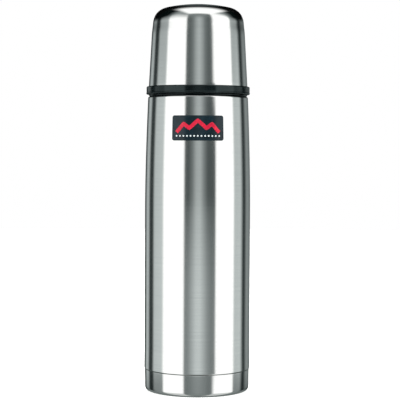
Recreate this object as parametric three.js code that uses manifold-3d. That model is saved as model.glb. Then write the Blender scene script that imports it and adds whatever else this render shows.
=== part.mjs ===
// A 0.75 litre stainless steel vacuum flask with a screw-on cup over a push-button pouring stopper.
// Millimetres, +Z up, the origin at the middle of the face it stands on, the badge towards -Y.
import * as THREE from "three";
import { mergeVertices } from "three/addons/utils/BufferGeometryUtils.js";
import Module from "manifold-3d";

// Sizes shared by all pieces
const flaskHeight = 290;
const facets = 32; // sides of every large turned piece
const smallFacets = 24;
const gap = 0.3; // clearance between neighbouring pieces
const sheet = 0.5; // thickness of the pressed steel walls

// Outer body and base
const bodyRadius = 39.3;
const bodyTaper = 1.9; // radius lost between taperStart and the shoulder
const taperStart = 137;
const taperPower = 1.75;
const shoulderZ = 220.4;
const shoulderRound = 1.4;
const seamZ = 16.7; // where the base cap meets the body
const seamFlare = 0.2;
const spigotRadius = 37.8; // the stepped-in foot of the body that the base cap is pressed onto
const spigotBottomZ = 7.5;
const baseWall = 0.8;
const baseRound = 3.1;
const baseBottomRadius = 38.9;
const baseTopRadius = 39.2;
const footInnerRadius = 24;
const footRecess = 2;

// Inner bottle and mouth
const bottleRadius = 35.4;
const bottleBottomZ = 17.5;
const bottleBottomRound = 12;
const bottleShoulderZ = 194;
const bottleShoulderRound = 16;
const throatRadius = 23; // outside of the narrowest part, where the stopper's gasket sits
const neckRadius = 26.5; // outside of the steel neck that takes the stopper
const ledgeZ = 222;
const rimZ = 244.5;
const outerNeckRadius = 30.7;

// Screw threads: the ridges of both parts of a pair have one lead, and lie half a pitch apart
const ridgeHeight = 1.2;
const smallRidgeHeight = 1.1;
const ridgeFoot = 2;
const ridgeCrest = 0.8;
const cupThread = { lead: 16, starts: 4, steps: facets / 2 };
const cupThreadZ = 226;
const stopperThread = { lead: 8, starts: 2, steps: 24 };
const stopperThreadZ = 231;

// Collar and cup
const collarRadius = 33;
const collarTopZ = 237;
const collarFlangeRadius = 36.8;
const bandBottomZ = 221.9;
const bandTopZ = 227.8;
const bandRadius = 38.8;
const bandRound = 0.8;
const skirtInnerRadius = 34.6;
const skirtOuterRadius = 35.9;
const skirtTopZ = 236.5;
const cupFootRadius = 36.9;
const cupFootZ = 228;
const cupSlope = 0.054; // radius lost for each millimetre of height
const cupRound = 12.5; // fillet between the cup's wall and its crowned top
const cupRoundZ = 275;
const linerWall = 1.2;

// Stopper
const housingRadius = 24.5;
const housingBore = 22.3;
const housingTopZ = 247;
const coverRadius = 29;
const coverTopZ = 262;
const coverRound = 3;
const buttonRadius = 13;
const buttonTopZ = 266;
const stemRadius = 3;
const valveSeatZ = 219.5;

// Badge on the front of the body
const badgeWidth = 37;
const badgeBottomZ = 187.3;
const badgeTopZ = 205.6;
const badgeRound = 1.5;
const badgeThickness = 0.35;
const badgeGap = 0.15;

const turn = 2 * Math.PI;
const wasm = await Module();
wasm.setup();

// ---------- shapes ----------

// The points of an arc in the profile plane, from one angle to the other in degrees.
function arc(r, z, radius, from, to, steps) {
  return Array.from({ length: steps + 1 }, (_, i) => {
    const angle = THREE.MathUtils.degToRad(from + ((to - from) * i) / steps);
    return [r + radius * Math.cos(angle), z + radius * Math.sin(angle)];
  });
}

// Turns a profile of [radius, height] points about the Z axis. The profile runs up the outside and
// down the inside. It ends on the axis, or it is closed back to its first point.
function turned(profile, sides = facets) {
  const onAxis = profile[0][0] === 0;
  const points = (onAxis ? profile : [...profile, profile[0]]).map(([r, z]) => new THREE.Vector2(r, z));
  return new THREE.LatheGeometry(points, sides).rotateX(Math.PI / 2);
}

// A flat outline of [x, y] points, pushed up from one height to another.
function slab(outline, bottom, top) {
  const shape = new THREE.Shape(outline.map(([x, y]) => new THREE.Vector2(x, y)));
  const depth = top - bottom;
  return new THREE.ExtrudeGeometry(shape, { depth, bevelEnabled: false }).translate(0, 0, bottom);
}

// A box between two corners.
function block([x0, y0, z0], [x1, y1, z1]) {
  const centre = [(x0 + x1) / 2, (y0 + y1) / 2, (z0 + z1) / 2];
  return new THREE.BoxGeometry(x1 - x0, y1 - y0, z1 - z0).translate(...centre);
}

// A section in the profile plane, extruded straight and then wrapped round the Z axis as a helix.
// Near both ends the section can sink back towards the radius called root, as a thread runs out.
function wound(section, { startAngle, turns, lead, steps, root = 0, runOut = 0 }) {
  const shape = new THREE.Shape(section.map(([r, z]) => new THREE.Vector2(r, z)));
  const geometry = new THREE.ExtrudeGeometry(shape, { depth: 1, steps, bevelEnabled: false });
  const position = geometry.getAttribute("position");
  for (let i = 0; i < position.count; i++) {
    const along = 1 - position.getZ(i); // reversed, so that the faces still point out after wrapping
    const fromEnd = Math.min(along, 1 - along);
    const height = runOut > 0 ? Math.min(1, 0.1 + fromEnd / runOut) : 1;
    const radius = root + (position.getX(i) - root) * height;
    const angle = startAngle + along * turns * turn;
    const z = position.getY(i) + along * turns * lead;
    position.setXYZ(i, radius * Math.cos(angle), radius * Math.sin(angle), z);
  }
  return geometry;
}

// The ridges of a thread with several starts, which begin at the height called bottom. They stand
// out of a wall at the radius called root, or into it where the height is negative, and their feet
// are buried in that wall.
function thread(root, height, bottom, { lead, starts, steps }) {
  const burial = gap * Math.sign(height);
  const foot = ridgeFoot / 2 + (gap * (ridgeFoot - ridgeCrest)) / (2 * Math.abs(height));
  const section = [
    [root - burial, -foot],
    [root + height, -ridgeCrest / 2],
    [root + height, ridgeCrest / 2],
    [root - burial, foot],
  ];
  return Array.from({ length: starts }, (_, i) =>
    wound(section, {
      startAngle: (i * turn) / starts,
      turns: steps / facets,
      lead,
      steps,
      root: root - 0.8 * burial,
      runOut: 2 / steps,
    }).translate(0, 0, bottom),
  );
}

// A coil spring along Z that stands on the height called bottom.
function coil({ radius, wire, bottom, height, turns, stepsPerTurn }) {
  const sides = 5;
  const section = Array.from({ length: sides }, (_, i) => {
    const angle = (i * turn) / sides;
    return [radius + wire * Math.cos(angle), wire * Math.sin(angle)];
  });
  const lead = (height - 2 * wire) / turns;
  const steps = Math.round(turns * stepsPerTurn);
  return wound(section, { startAngle: 0, turns, lead, steps }).translate(0, 0, bottom + wire);
}

// ---------- joining and cutting ----------

function solidOf(geometry) {
  const bare = geometry.index ? geometry.toNonIndexed() : geometry.clone();
  bare.deleteAttribute("normal");
  bare.deleteAttribute("uv");
  const merged = mergeVertices(bare, 1e-3);
  const vertProperties = new Float32Array(merged.getAttribute("position").array);
  const triVerts = new Uint32Array(merged.index.array);
  return new wasm.Manifold(new wasm.Mesh({ numProp: 3, vertProperties, triVerts }));
}

function geometryOf(solid) {
  const { vertProperties, triVerts } = solid.getMesh();
  return new THREE.BufferGeometry()
    .setAttribute("position", new THREE.BufferAttribute(vertProperties, 3))
    .setIndex(new THREE.BufferAttribute(triVerts, 1))
    .toNonIndexed();
}

function joined(first, ...others) {
  return geometryOf(others.reduce((sum, g) => sum.add(solidOf(g)), solidOf(first)));
}

function cut(first, ...tools) {
  return geometryOf(tools.reduce((rest, g) => rest.subtract(solidOf(g)), solidOf(first)));
}

function common(first, second) {
  return geometryOf(solidOf(first).intersect(solidOf(second)));
}

// ---------- materials ----------

const finish = (color, roughness, metalness) =>
  new THREE.MeshStandardMaterial({ color, roughness, metalness });
const steel = finish("#c6c9c8", 0.24, 1);
const innerSteel = finish("#b4b7b6", 0.35, 1);
const springSteel = finish("#a4a7a8", 0.3, 1);
const copperFoil = finish("#b8794e", 0.3, 1);
const getterMetal = finish("#6a6c70", 0.7, 0.6);
const blackPlastic = finish("#14181a", 0.45, 0);
const greyPlastic = finish("#3c4245", 0.5, 0);
const silicone = finish("#c9ccc8", 0.6, 0);
const enamel = finish("#22303a", 0.3, 0.2);

// ---------- body ----------

function bodyRadiusAt(z) {
  const height = shoulderZ - shoulderRound - taperStart;
  return bodyRadius - bodyTaper * Math.max(0, (z - taperStart) / height) ** taperPower;
}

// The side of the body from bottom to top, moved inwards by the depth given.
function bodySide(inwards) {
  const taperSteps = 3;
  const top = shoulderZ - shoulderRound;
  const step = (top - taperStart) / taperSteps;
  const heights = Array.from({ length: taperSteps + 1 }, (_, i) => taperStart + step * i);
  return heights.map((z) => [bodyRadiusAt(z) - inwards, z]);
}

// One pressing: the stepped-in foot, the side, the rounded shoulder and the outer neck.
function outerShell() {
  const shoulderCentre = bodyRadiusAt(shoulderZ - shoulderRound) - shoulderRound;
  const shoulderArc = (inwards) =>
    arc(shoulderCentre, shoulderZ - shoulderRound, shoulderRound - inwards, 0, 90, 3).slice(1);
  const neckTopZ = rimZ - sheet - 2 * gap;
  const outside = [
    [spigotRadius, spigotBottomZ],
    [spigotRadius, seamZ],
    [bodyRadius + seamFlare, seamZ],
    [bodyRadius + seamFlare, seamZ + 1],
    [bodyRadius, seamZ + 3],
    ...bodySide(0),
    ...shoulderArc(0),
    [outerNeckRadius + sheet, shoulderZ],
    [outerNeckRadius, shoulderZ + sheet],
    [outerNeckRadius, neckTopZ],
  ];
  const inside = [
    [spigotRadius - sheet, spigotBottomZ],
    [spigotRadius - sheet, seamZ + sheet],
    [bodyRadius - sheet, seamZ + sheet],
    ...bodySide(sheet),
    ...shoulderArc(sheet),
    [outerNeckRadius - sheet, shoulderZ - sheet],
    [outerNeckRadius - sheet, neckTopZ],
  ];
  return turned([...outside, ...inside.reverse()]);
}

// The steel cap pressed over the foot: a flat foot ring, a round corner and a recessed middle.
function baseCap() {
  const cornerRadius = baseBottomRadius - baseRound;
  const topZ = seamZ - gap;
  return turned([
    [0, footRecess],
    [footInnerRadius - 1.5, footRecess],
    [footInnerRadius, 0],
    ...arc(cornerRadius, baseRound, baseRound, -90, 0, 3),
    [baseTopRadius, topZ],
    [baseTopRadius - baseWall, topZ],
    ...arc(cornerRadius, baseRound, baseRound - baseWall, 0, -90, 2),
    [footInnerRadius + 0.3, baseWall],
    [footInnerRadius - 1.2, footRecess + baseWall],
    [0, footRecess + baseWall],
  ]);
}

// The plate welded into the foot that closes the vacuum jacket, with the pumping port in its middle.
const plateRadius = spigotRadius - sheet - gap;
const plateZ = 11;
const portRadius = 1.5;
function vacuumBase() {
  return turned(
    [
      [portRadius, plateZ],
      [plateRadius - baseWall, plateZ],
      [plateRadius - baseWall, spigotBottomZ + 0.5],
      [plateRadius, spigotBottomZ + 0.5],
      [plateRadius, plateZ + baseWall],
      [portRadius, plateZ + baseWall],
    ],
    smallFacets,
  );
}

// The bead of solder that seals the port.
function portSeal() {
  const plug = portRadius - gap;
  return turned(
    [
      [0, plateZ - 1.8],
      [2.2, plateZ - 1.5],
      [3, plateZ - gap],
      [plug, plateZ - gap],
      [plug, plateZ + baseWall],
      [0, plateZ + baseWall + 0.4],
    ],
    16,
  );
}

// The getter takes up stray gas in the jacket: a pellet in a small steel cup on the plate.
const getterPlace = [14, 6, 0];
const getterBottomZ = plateZ + baseWall + gap;
function getterCup() {
  return turned(
    [
      [0, getterBottomZ],
      [5.2, getterBottomZ],
      [6, getterBottomZ + 2.8],
      [5.5, getterBottomZ + 2.8],
      [4.8, getterBottomZ + 0.5],
      [0, getterBottomZ + 0.5],
    ],
    20,
  );
}

function getterPellet() {
  const bottom = getterBottomZ + 0.5 + gap;
  return turned(
    [
      [0, bottom],
      [4.2, bottom],
      [4.4, bottom + 1.3],
      [0, bottom + 1.6],
    ],
    20,
  );
}

// The inner bottle hangs from the mouth only. Its neck carries the stopper's thread, and its rim
// turns out over the outer neck, where the two walls are welded together.
function innerBottle() {
  const bottomR = bottleRadius - bottleBottomRound;
  const bottomZ = bottleBottomZ + bottleBottomRound;
  const shoulderR = bottleRadius - bottleShoulderRound;
  const side = (inwards) => [
    ...arc(bottomR, bottomZ, bottleBottomRound - inwards, -90, 0, 3),
    ...arc(shoulderR, bottleShoulderZ, bottleShoulderRound - inwards, 0, 75, 3),
    [throatRadius - inwards, bottleShoulderZ + bottleShoulderRound],
  ];
  const outside = [
    [0, bottleBottomZ],
    ...side(0),
    [throatRadius, ledgeZ - 2],
    [neckRadius, ledgeZ - sheet],
    [neckRadius, rimZ - sheet],
    [outerNeckRadius, rimZ - sheet],
  ];
  const inside = [
    [0, bottleBottomZ + sheet],
    ...side(sheet),
    [throatRadius - sheet, ledgeZ],
    [neckRadius - sheet, ledgeZ],
    [neckRadius - sheet, rimZ - sheet],
    [neckRadius, rimZ],
    [outerNeckRadius, rimZ],
  ];
  const bottle = turned([...outside, ...inside.reverse()]);
  return joined(bottle, ...thread(neckRadius - sheet, -smallRidgeHeight, stopperThreadZ, stopperThread));
}

// Bright foil wrapped round the inner bottle keeps radiant heat in.
function radiationFoil() {
  const inner = bottleRadius + gap;
  return turned([
    [inner, 32],
    [inner + 0.25, 32],
    [inner + 0.25, 188],
    [inner, 188],
  ]);
}

// The black collar pushed over the neck. The cup screws onto it, and its flange shows as a dark
// line between the shoulder and the cup.
function neckCollar() {
  const inner = outerNeckRadius + gap;
  const flangeBottom = shoulderZ + gap + 0.1;
  const collar = turned([
    [inner + 0.6, flangeBottom],
    [collarFlangeRadius, flangeBottom],
    [collarFlangeRadius, flangeBottom + 0.7],
    [collarRadius, flangeBottom + 0.8],
    [collarRadius, collarTopZ - 0.6],
    [collarRadius - 0.6, collarTopZ],
    [inner, collarTopZ],
    [inner, flangeBottom + 0.6],
  ]);
  return joined(collar, ...thread(collarRadius, ridgeHeight, cupThreadZ, cupThread));
}

// A thin curved plate: a ring that follows the body, trimmed to a rectangle with round corners.
function badgePlate() {
  const heights = [badgeBottomZ - 2, (badgeBottomZ + badgeTopZ) / 2, badgeTopZ + 2];
  const ringInside = heights.map((z) => [bodyRadiusAt(z) + badgeGap, z]);
  const ringOutside = heights.map((z) => [bodyRadiusAt(z) + badgeGap + badgeThickness, z]);
  const ring = turned([...ringOutside, ...ringInside.reverse()]);
  const halfWidth = badgeWidth / 2 - badgeRound;
  const corners = [
    [halfWidth, badgeBottomZ + badgeRound, -90],
    [halfWidth, badgeTopZ - badgeRound, 0],
    [-halfWidth, badgeTopZ - badgeRound, 90],
    [-halfWidth, badgeBottomZ + badgeRound, 180],
  ];
  const outline = corners.flatMap(([x, z, from]) => arc(x, z, badgeRound, from, from + 90, 3));
  const front = slab(outline, 0, bodyRadius + 5).rotateX(Math.PI / 2);
  return common(ring, front);
}

// ---------- cup ----------

// The outline of the cup moved inwards by the depth given, from the height called bottom to the
// axis: a straight tapered wall, a round fillet and a gently crowned top, each tangent to the next.
function cupOutline(inwards, bottom) {
  const wallAngle = THREE.MathUtils.radToDeg(Math.atan(cupSlope));
  const wallRadiusAt = (z) => cupFootRadius - cupSlope * Math.max(0, z - cupFootZ);
  const centreR = wallRadiusAt(cupRoundZ) - cupRound * Math.hypot(1, cupSlope);
  const rise = flaskHeight - cupRoundZ;
  const crown = (centreR ** 2 + rise ** 2 - cupRound ** 2) / (2 * (rise - cupRound));
  const meet = THREE.MathUtils.radToDeg(Math.acos(centreR / (crown - cupRound)));
  const foot = bottom < cupFootZ ? [[cupFootRadius - inwards, bottom]] : [];
  const wallBottom = Math.max(bottom, cupFootZ);
  return [
    ...foot,
    [wallRadiusAt(wallBottom) - inwards, wallBottom],
    ...arc(centreR, cupRoundZ, cupRound - inwards, wallAngle, meet, 4),
    ...arc(0, flaskHeight - crown, crown - inwards, meet, 90, 2).slice(1, -1),
    [0, flaskHeight - inwards],
  ];
}

// A shell between two depths below the cup's outer face, open at the bottom.
function cupSkin(outer, inner, bottom) {
  return turned([...cupOutline(inner, bottom).reverse(), ...cupOutline(outer, bottom)]);
}

const cupShell = () => cupSkin(0, sheet, bandBottomZ + 2.7);
const cupLiner = () => cupSkin(sheet + gap, sheet + gap + linerWall, skirtTopZ + gap);

// The plastic ring at the cup's mouth: it grips the steel edge in a groove, and its skirt inside
// carries the thread that screws onto the collar.
function cupBand() {
  const grooveZ = bandBottomZ + 2.4;
  const band = turned([
    [skirtInnerRadius, bandBottomZ],
    ...arc(bandRadius - bandRound, bandBottomZ + bandRound, bandRound, -90, 0, 2),
    ...arc(bandRadius - bandRound, bandTopZ - bandRound, bandRound, 0, 90, 2),
    [cupFootRadius + gap, bandTopZ],
    [cupFootRadius + gap, grooveZ],
    [skirtOuterRadius, grooveZ],
    [skirtOuterRadius, skirtTopZ],
    [skirtInnerRadius, skirtTopZ],
  ]);
  const pitch = cupThread.lead / cupThread.starts;
  return joined(band, ...thread(skirtInnerRadius, -ridgeHeight, cupThreadZ - pitch / 2, cupThread));
}

// ---------- stopper ----------

// The threaded body of the stopper: a valve seat at the bottom, a flange on the mouth, a guide for
// the stem on four spokes, and the post and shelf of the release key.
const spokeBottomZ = 230;
const springSeatZ = 237.2;
function stopperHousing() {
  const lipZ = 222.1;
  const gasketTopZ = 225.5;
  const body = turned([
    [13.5, valveSeatZ],
    [21.2, valveSeatZ],
    [21.9, valveSeatZ + 0.8],
    [21.9, lipZ],
    [20.3, lipZ],
    [20.3, gasketTopZ],
    [housingRadius, gasketTopZ],
    [housingRadius, rimZ + gap],
    [coverRadius - 1.4, rimZ + gap],
    [coverRadius - 1.4, housingTopZ],
    [housingBore, housingTopZ],
    [housingBore, 228],
    [18.3, 228],
    [18.3, valveSeatZ + 1.8],
    [13.5, valveSeatZ + 1.8],
  ]);
  const hub = turned(
    [
      [stemRadius + 0.4, 228],
      [stemRadius + 2.2, 228],
      [stemRadius + 2.2, springSeatZ - 1.4],
      [9, springSeatZ - 1.4],
      [9, springSeatZ],
      [stemRadius + 0.4, springSeatZ],
    ],
    16,
  );
  const spoke = block([stemRadius + 1.5, -0.9, spokeBottomZ], [housingBore + 0.8, 0.9, springSeatZ - 1]);
  const spokes = [0, 1, 2, 3].map((i) => spoke.clone().rotateZ((i * turn) / 4));
  const keyPost = block([-3.6, 14.9, springSeatZ - 1.4], [3.6, 16.2, 255]);
  const postFoot = block([-3.6, 14.9, springSeatZ - 1.4], [3.6, housingBore + 0.8, springSeatZ + 0.6]);
  const keyShelf = block([-5, 23.4, housingTopZ - 1], [5, 27, 249.3]);
  const pitch = stopperThread.lead / stopperThread.starts;
  const threads = thread(housingRadius, smallRidgeHeight, stopperThreadZ - pitch / 2, stopperThread);
  return joined(body, hub, ...spokes, keyPost, postFoot, keyShelf, ...threads);
}

// The ring that seals the stopper against the ledge in the neck.
function stopperGasket() {
  return turned(
    [
      [20.6, ledgeZ + 0.4],
      [23.6, ledgeZ + 0.4],
      [24.3, ledgeZ + 1.4],
      [24.3, ledgeZ + 2.4],
      [23.8, ledgeZ + 3.2],
      [20.6, ledgeZ + 3.2],
    ],
    smallFacets,
  );
}

// The round cap that is gripped to turn the stopper, with flutes for the fingers, a bore for the
// button, a window to pour from at the front and a slot for the release key at the back.
function stopperCover() {
  const wall = 1;
  const sleeve = buttonRadius + 0.4;
  const roof = coverTopZ - 2.5;
  const cap = turned([
    [coverRadius - wall, rimZ + 0.5],
    [coverRadius, rimZ + 0.5],
    ...arc(coverRadius - coverRound, coverTopZ - coverRound, coverRound, 0, 90, 3),
    [sleeve + 1, coverTopZ],
    [sleeve, coverTopZ - 1],
    [sleeve, roof - 3],
    [sleeve + 1.6, roof - 3],
    [sleeve + 1.6, roof],
    [coverRadius - 3, roof],
    [coverRadius - wall, roof - 2],
  ]);
  const flutes = 12;
  const flute = (i) => {
    const angle = ((i + 0.5) * turn) / flutes;
    const tool = new THREE.CylinderGeometry(3.6, 3.6, 13, 8).rotateX(Math.PI / 2).rotateZ(angle);
    const out = coverRadius + 2.9;
    return tool.translate(out * Math.sin(angle), -out * Math.cos(angle), rimZ + 7);
  };
  const spout = block([-7.5, -coverRadius - 5, 249], [7.5, -coverRadius + 6, 256.5]);
  const keySlot = block([-6.4, coverRadius - 6, 249.2], [6.4, coverRadius + 5, 255.8]);
  return cut(cap, spout, keySlot, ...Array.from({ length: flutes }, (_, i) => flute(i)));
}

// The button with its finger dish, the flange that stops it under the cover and the stem's socket.
function pushButton() {
  const edge = 1.5;
  return turned(
    [
      [0, 254.6],
      [stemRadius + gap, 254.6],
      [stemRadius + gap, 249.5],
      [5.3, 249.5],
      [5.3, 256],
      [11.6, 256],
      [11.6, 254.7],
      [14.2, 254.7],
      [14.2, 256.2],
      [buttonRadius, 256.2],
      ...arc(buttonRadius - edge, buttonTopZ - edge, edge, 0, 90, 2),
      [9, buttonTopZ - 0.7],
      [0, buttonTopZ - 1.2],
    ],
    smallFacets,
  );
}

// The rod from the button to the valve, with a groove for its clip.
const clipZ = 213.1;
function valveStem() {
  return turned(
    [
      [0, clipZ - 0.9],
      [2.6, clipZ - 0.9],
      [stemRadius, clipZ - 0.6],
      [stemRadius, clipZ],
      [stemRadius - 0.6, clipZ],
      [stemRadius - 0.6, clipZ + 1.7],
      [stemRadius, clipZ + 1.7],
      [stemRadius, 254.2],
      [0, 254.2],
    ],
    16,
  );
}

function valveDisc() {
  return turned(
    [
      [stemRadius + gap, 215.1],
      [15, 215.1],
      [17.1, 216.4],
      [17.1, 218.4],
      [16.3, 218.4],
      [16.3, 217.4],
      [stemRadius + gap, 217.4],
    ],
    smallFacets,
  );
}

function valveGasket() {
  return turned(
    [
      [12.6, 217.7],
      [16, 217.7],
      [16, 218.7],
      [15.4, 219.2],
      [13.2, 219.2],
      [12.6, 218.7],
    ],
    smallFacets,
  );
}

// The spring clip that keeps the disc on the stem: a flat ring with a slot.
function stemClip() {
  const opening = 30;
  const outline = [
    ...arc(0, 0, 5.2, opening, 360 - opening, 16),
    ...arc(0, 0, stemRadius - 0.3, 360 - opening, opening, 16),
  ];
  return slab(outline, clipZ + gap, clipZ + 1.4);
}

function returnSpring() {
  const bottom = springSeatZ + gap;
  return coil({ radius: 7.4, wire: 0.45, bottom, height: 256 - gap - bottom, turns: 6, stepsPerTurn: 10 });
}

// The key that lets a latched button up again: a thumb pad outside, and two latch arms that pass
// either side of its spring.
function releaseKey() {
  const bottom = 249.6;
  const top = 255.4;
  const rim = 30.8;
  const half = THREE.MathUtils.radToDeg(Math.asin(6 / rim));
  const pad = slab([...arc(0, 0, rim, 90 - half, 90 + half, 4), [-6, 23], [6, 23]], bottom, top);
  const arms = [-1, 1].map((side) =>
    block([side < 0 ? -6 : 4.4, 17.4, bottom + 1], [side < 0 ? -4.4 : 6, 24, top - 1]),
  );
  return joined(pad, ...arms);
}

function latchSpring() {
  const length = 23 - 16.2 - 2 * gap;
  return coil({ radius: 2, wire: 0.35, bottom: 0, height: length, turns: 4, stepsPerTurn: 8 })
    .rotateX(-Math.PI / 2)
    .translate(0, 16.2 + gap, 252.5);
}

// ---------- assembly ----------

function piece(name, geometry, material) {
  const mesh = new THREE.Mesh(geometry, material);
  mesh.name = name;
  return mesh;
}

const body = new THREE.Group().add(
  piece("outer_shell", outerShell(), steel),
  piece("inner_bottle", innerBottle(), innerSteel),
  piece("base_cap", baseCap(), steel),
  piece("vacuum_base", vacuumBase(), innerSteel),
  piece("port_seal", portSeal(), getterMetal),
  piece("radiation_foil", radiationFoil(), copperFoil),
  piece("neck_collar", neckCollar(), blackPlastic),
  piece("badge_plate", badgePlate(), enamel),
);
const getter = new THREE.Group().add(
  piece("getter_cup", getterCup(), innerSteel),
  piece("getter_pellet", getterPellet(), getterMetal),
);
getter.position.set(...getterPlace);
body.add(getter);

const cup = new THREE.Group().add(
  piece("cup_shell", cupShell(), steel),
  piece("cup_liner", cupLiner(), blackPlastic),
  piece("cup_band", cupBand(), blackPlastic),
);

const valve = new THREE.Group().add(
  piece("push_button", pushButton(), greyPlastic),
  piece("valve_stem", valveStem(), greyPlastic),
  piece("valve_disc", valveDisc(), blackPlastic),
  piece("valve_gasket", valveGasket(), silicone),
  piece("stem_clip", stemClip(), springSteel),
);
const stopper = new THREE.Group().add(
  piece("stopper_housing", stopperHousing(), blackPlastic),
  piece("stopper_cover", stopperCover(), blackPlastic),
  piece("stopper_gasket", stopperGasket(), silicone),
  piece("return_spring", returnSpring(), springSteel),
  piece("release_key", releaseKey(), greyPlastic),
  piece("latch_spring", latchSpring(), springSteel),
  valve,
);

const group = new THREE.Group().add(body, cup, stopper);
export default group;
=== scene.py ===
import math

import bpy
import numpy as np
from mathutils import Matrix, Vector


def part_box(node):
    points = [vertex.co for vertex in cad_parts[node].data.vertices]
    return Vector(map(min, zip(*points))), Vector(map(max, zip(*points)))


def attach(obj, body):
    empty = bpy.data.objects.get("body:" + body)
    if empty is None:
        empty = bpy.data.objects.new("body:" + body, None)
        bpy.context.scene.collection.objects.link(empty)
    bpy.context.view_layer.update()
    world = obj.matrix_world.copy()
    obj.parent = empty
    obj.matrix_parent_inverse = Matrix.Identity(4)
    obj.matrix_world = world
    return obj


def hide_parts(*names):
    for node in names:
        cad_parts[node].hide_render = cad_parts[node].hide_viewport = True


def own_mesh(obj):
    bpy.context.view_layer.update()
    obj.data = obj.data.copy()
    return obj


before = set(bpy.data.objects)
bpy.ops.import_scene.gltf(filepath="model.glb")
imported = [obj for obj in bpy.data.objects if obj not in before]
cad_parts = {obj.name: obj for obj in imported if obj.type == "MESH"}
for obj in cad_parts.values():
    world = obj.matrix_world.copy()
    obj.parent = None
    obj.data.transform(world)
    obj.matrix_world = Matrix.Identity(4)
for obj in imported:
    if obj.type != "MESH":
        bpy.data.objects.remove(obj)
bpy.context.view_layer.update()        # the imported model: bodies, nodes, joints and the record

mm = 0.001
fullTurn = 2 * math.pi
crispEdge = math.radians(50)    # faces that meet at more than this keep a crisp edge


# Colour and shader nodes

def toLinear(colour):
    # sRGB hex to linear light: small shares are divided by 12.92, the rest follow the 2.4 power curve
    share = np.array([int(colour[i:i + 2], 16) for i in (1, 3, 5)]) / 255
    linear = np.where(share <= 0.04045, share / 12.92, ((share + 0.055) / 1.055) ** 2.4)
    return (*linear.tolist(), 1.0)


def addNode(tree, kind, settings=None, give=0):
    # a key of settings is an attribute, or a socket's name or number; its value is a socket to link,
    # a hex colour, or what the socket holds. Gives one output, or the node itself for give=None
    node = tree.nodes.new("ShaderNode" + kind)
    for key, value in (settings or {}).items():
        if isinstance(key, str) and hasattr(node, key):
            setattr(node, key, value)
        elif isinstance(value, bpy.types.NodeSocket):
            tree.links.new(value, node.inputs[key])
        else:
            node.inputs[key].default_value = toLinear(value) if isinstance(value, str) else value
    return node if give is None else node.outputs[give]


def newMaterial(name, look, slot=None):
    # noise patterns on object coordinates, with blotches about sizeMm long in x, y and z; "between"
    # stretches one to 0..1. Each adds its rough times its value to the roughness and its depthMm to
    # the relief, and the one that tints mixes the two colours. Gives the material and its slot
    material = bpy.data.materials.new(name)
    material.use_nodes = True
    tree = material.node_tree
    tree.nodes.clear()
    place = addNode(tree, "TexCoord", give="Object")
    shader = {**look["shader"], "Roughness": look["roughness"]}
    for pattern in look["patterns"]:
        scale = [1 / (size * mm) for size in pattern["sizeMm"]]
        turn = pattern.get("turned", (0, 0, 0))
        spot = addNode(tree, "Mapping", {"Vector": place, "Rotation": turn, "Scale": scale})
        noise = {"Vector": spot, "Scale": 1.0, "Detail": pattern["detail"]}
        noise["Roughness"] = pattern.get("grit", 0.5)
        value = addNode(tree, "TexNoise", noise, "Fac")
        if "between" in pattern:
            low, high = pattern["between"]
            value = addNode(tree, "MapRange", {"Value": value, "From Min": low, "From Max": high})
        if "rough" in pattern:
            added = {"operation": "MULTIPLY_ADD", 0: value, 1: pattern["rough"], 2: shader["Roughness"]}
            shader["Roughness"] = addNode(tree, "Math", added)
        if "depthMm" in pattern:
            below = {"Normal": shader["Normal"]} if "Normal" in shader else {}
            relief = {"Height": value, "Distance": pattern["depthMm"] * mm, **below}
            shader["Normal"] = addNode(tree, "Bump", relief)
        if pattern.get("tints"):
            colours = dict(zip((6, 7), look["colours"]))
            shader["Base Color"] = addNode(tree, "Mix", {"data_type": "RGBA", 0: value, **colours}, 2)
    if look.get("turnedOnZ"):
        shader["Tangent"] = addNode(tree, "Tangent", {"direction_type": "RADIAL", "axis": "Z"})
    addNode(tree, "OutputMaterial", {"Surface": addNode(tree, "BsdfPrincipled", shader)}, None)
    return material, slot


# Materials

halves = (0.3, 0.7)      # most of a noise lies between these

# 18/8 stainless steel polished on a lathe: mirror bright across, and drawn out along the axis by a
# fine grain that runs round the flask, with faint smudges and a few handling scratches
steelGrain = {"sizeMm": (90, 90, 0.5),     # real grain is near 0.05 mm: drawn coarser so that it shows
              "detail": 3.0, "grit": 0.7, "between": halves, "rough": 0.03, "depthMm": 0.0006, "tints": True}
steelWear = [
    {"sizeMm": (38, 38, 55), "detail": 3.0, "between": halves, "rough": 0.02},
    {"sizeMm": (120, 0.4, 60), "detail": 1.0, "turned": (0.35, 0.2, 0.5), "between": (0.72, 0.80),
     "rough": 0.04, "depthMm": -0.001},
]
polishedSteelLook = {
    "colours": ("#d2d3d1", "#cacbca"), "roughness": 0.075, "turnedOnZ": True,
    "shader": {"Metallic": 1.0, "Anisotropic": 0.5}, "patterns": [steelGrain, *steelWear],
}

# the same steel as it leaves the press, dull and coarser
pressedSteelLook = {
    "colours": ("#bfc1c0", "#a9abab"), "roughness": 0.24, "turnedOnZ": True,
    "shader": {"Metallic": 1.0, "Anisotropic": 0.3},
    "patterns": [{**steelGrain, "sizeMm": (90, 90, 0.8), "rough": 0.10}, *steelWear],
}

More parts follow.
